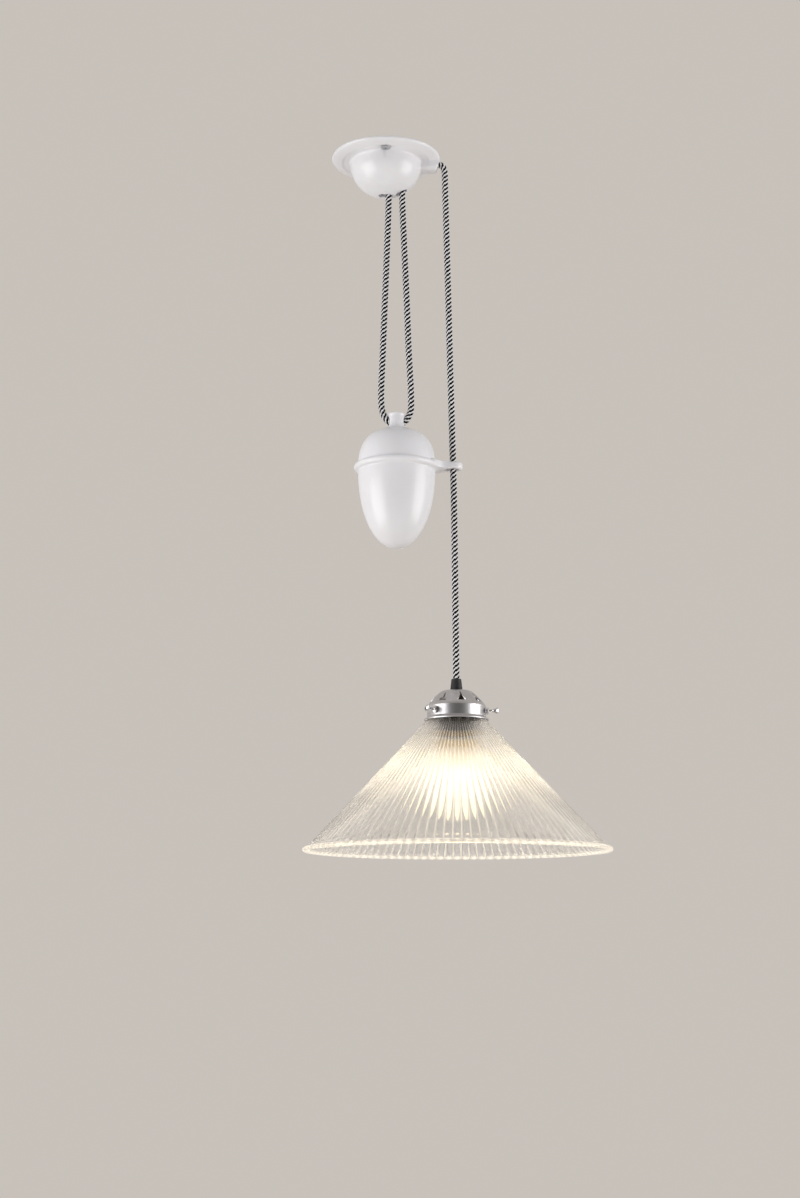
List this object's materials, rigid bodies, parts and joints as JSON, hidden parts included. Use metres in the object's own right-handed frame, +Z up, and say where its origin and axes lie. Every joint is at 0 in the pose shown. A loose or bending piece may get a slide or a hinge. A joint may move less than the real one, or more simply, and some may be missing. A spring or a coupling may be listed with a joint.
{
  "type": "rise and fall pendant light",
  "caption": "Ceiling pendant whose ribbed glass shade slides up and down on braided flex against a glazed porcelain counterweight.",
  "frame": {"origin": "middle of the ceiling rose's back, on the ceiling", "axes": "+Z up into the ceiling, +X to the side where the lamp hangs, and -Y the front of the pictured view"},
  "size_m": [0.3, 0.3, 0.7152],
  "materials": {
    "porcelain": "gloss",
    "unglazed": "matt",
    "steel": "zinc plated",
    "brass": "satin",
    "screw_brass": "nickel plated",
    "fibre": "matt",
    "white_plastic": "matt",
    "wheel_nylon": "satin",
    "black_plastic": "matt",
    "flex": "woven",
    "brown": "satin",
    "blue": "satin",
    "earth": "satin",
    "cement": "matt",
    "iron": "rough",
    "gallery": "satin",
    "chrome": "polished",
    "bakelite": "gloss",
    "glass": "clear ribbed",
    "bulb_glass": "clear",
    "filament": "glowing"
  },
  "bodies": {
    "rose": {"ceiling_rose": "porcelain", "rose_screws": "steel", "screw_washers": "fibre", "mounting_strap": "steel", "supply_bush": "black_plastic", "wheel_axle": "steel", "axle_clip": "steel", "wheel_washers": "brass", "clamp_bar": "steel", "clamp_screws": "steel", "terminal_block": "white_plastic", "terminal_barrels": "brass", "terminal_screws": "screw_brass", "terminal_rivets": "steel", "rose_live_core": "brown", "rose_neutral_core": "blue", "rose_earth_core": "earth", "flex_loop": "flex", "flex_over_wheel": "flex", "flex_drop": "flex"},
    "wheel": {"ceiling_wheel": "wheel_nylon"},
    "weight": {"weight_cap": "porcelain", "weight_body": "porcelain", "weight_cement": "cement", "ballast": "iron", "ballast_bedding": "cement"},
    "lamp": {"grip_cap": "black_plastic", "grip_body": "black_plastic", "flex_tail": "flex", "lock_nut": "steel", "gallery": "gallery", "holder_cap": "brass", "holder_body": "bakelite", "holder_base": "unglazed", "holder_terminals": "brass", "centre_contact": "brass", "screw_shell": "brass", "earth_terminal": "brass", "holder_ring": "brass", "lamp_live_core": "brown", "lamp_neutral_core": "blue", "lamp_earth_core": "earth", "glass_shade": "glass", "bulb_cap": "screw_brass", "bulb_insulator": "bakelite", "bulb_contact": "screw_brass", "bulb_glass": "bulb_glass", "bulb_stem": "bulb_glass", "bulb_filament": "filament"},
    "thumb_left": {"thumbscrew_left": "chrome"},
    "thumb_right": {"thumbscrew_right": "chrome"},
    "thumb_back": {"thumbscrew_back": "chrome"}
  },
  "joints": [
    {"name": "weight_slide", "type": "slide", "parent": "rose", "child": "weight", "axis": [0, 0, 1], "range_m": [-0.05, 0.15], "deforming": ["flex_loop"]},
    {"name": "lamp_slide", "type": "slide", "parent": "rose", "child": "lamp", "axis": [0, 0, 1], "range_m": [-0.3, 0.1], "deforming": ["flex_drop"]},
    {"name": "wheel_spin", "type": "hinge", "parent": "rose", "child": "wheel", "pos_m": [0.0236, 0, -0.0134], "axis": [0, 1, 0], "continuous": true},
    {"name": "thumb_left_slide", "type": "slide", "parent": "lamp", "child": "thumb_left", "axis": [-0.7071, -0.7071, 0], "range_m": [0, 0.006]},
    {"name": "thumb_right_slide", "type": "slide", "parent": "lamp", "child": "thumb_right", "axis": [0.9659, -0.2588, 0], "range_m": [0, 0.006]},
    {"name": "thumb_back_slide", "type": "slide", "parent": "lamp", "child": "thumb_back", "axis": [-0.2588, 0.9659, 0], "range_m": [0, 0.006]}
  ],
  "couplings": [
    {"joint": "lamp_slide", "follows": "weight_slide", "ratio": -2},
    {"joint": "wheel_spin", "follows": "weight_slide", "rad_per_m": 277.78}
  ]
}
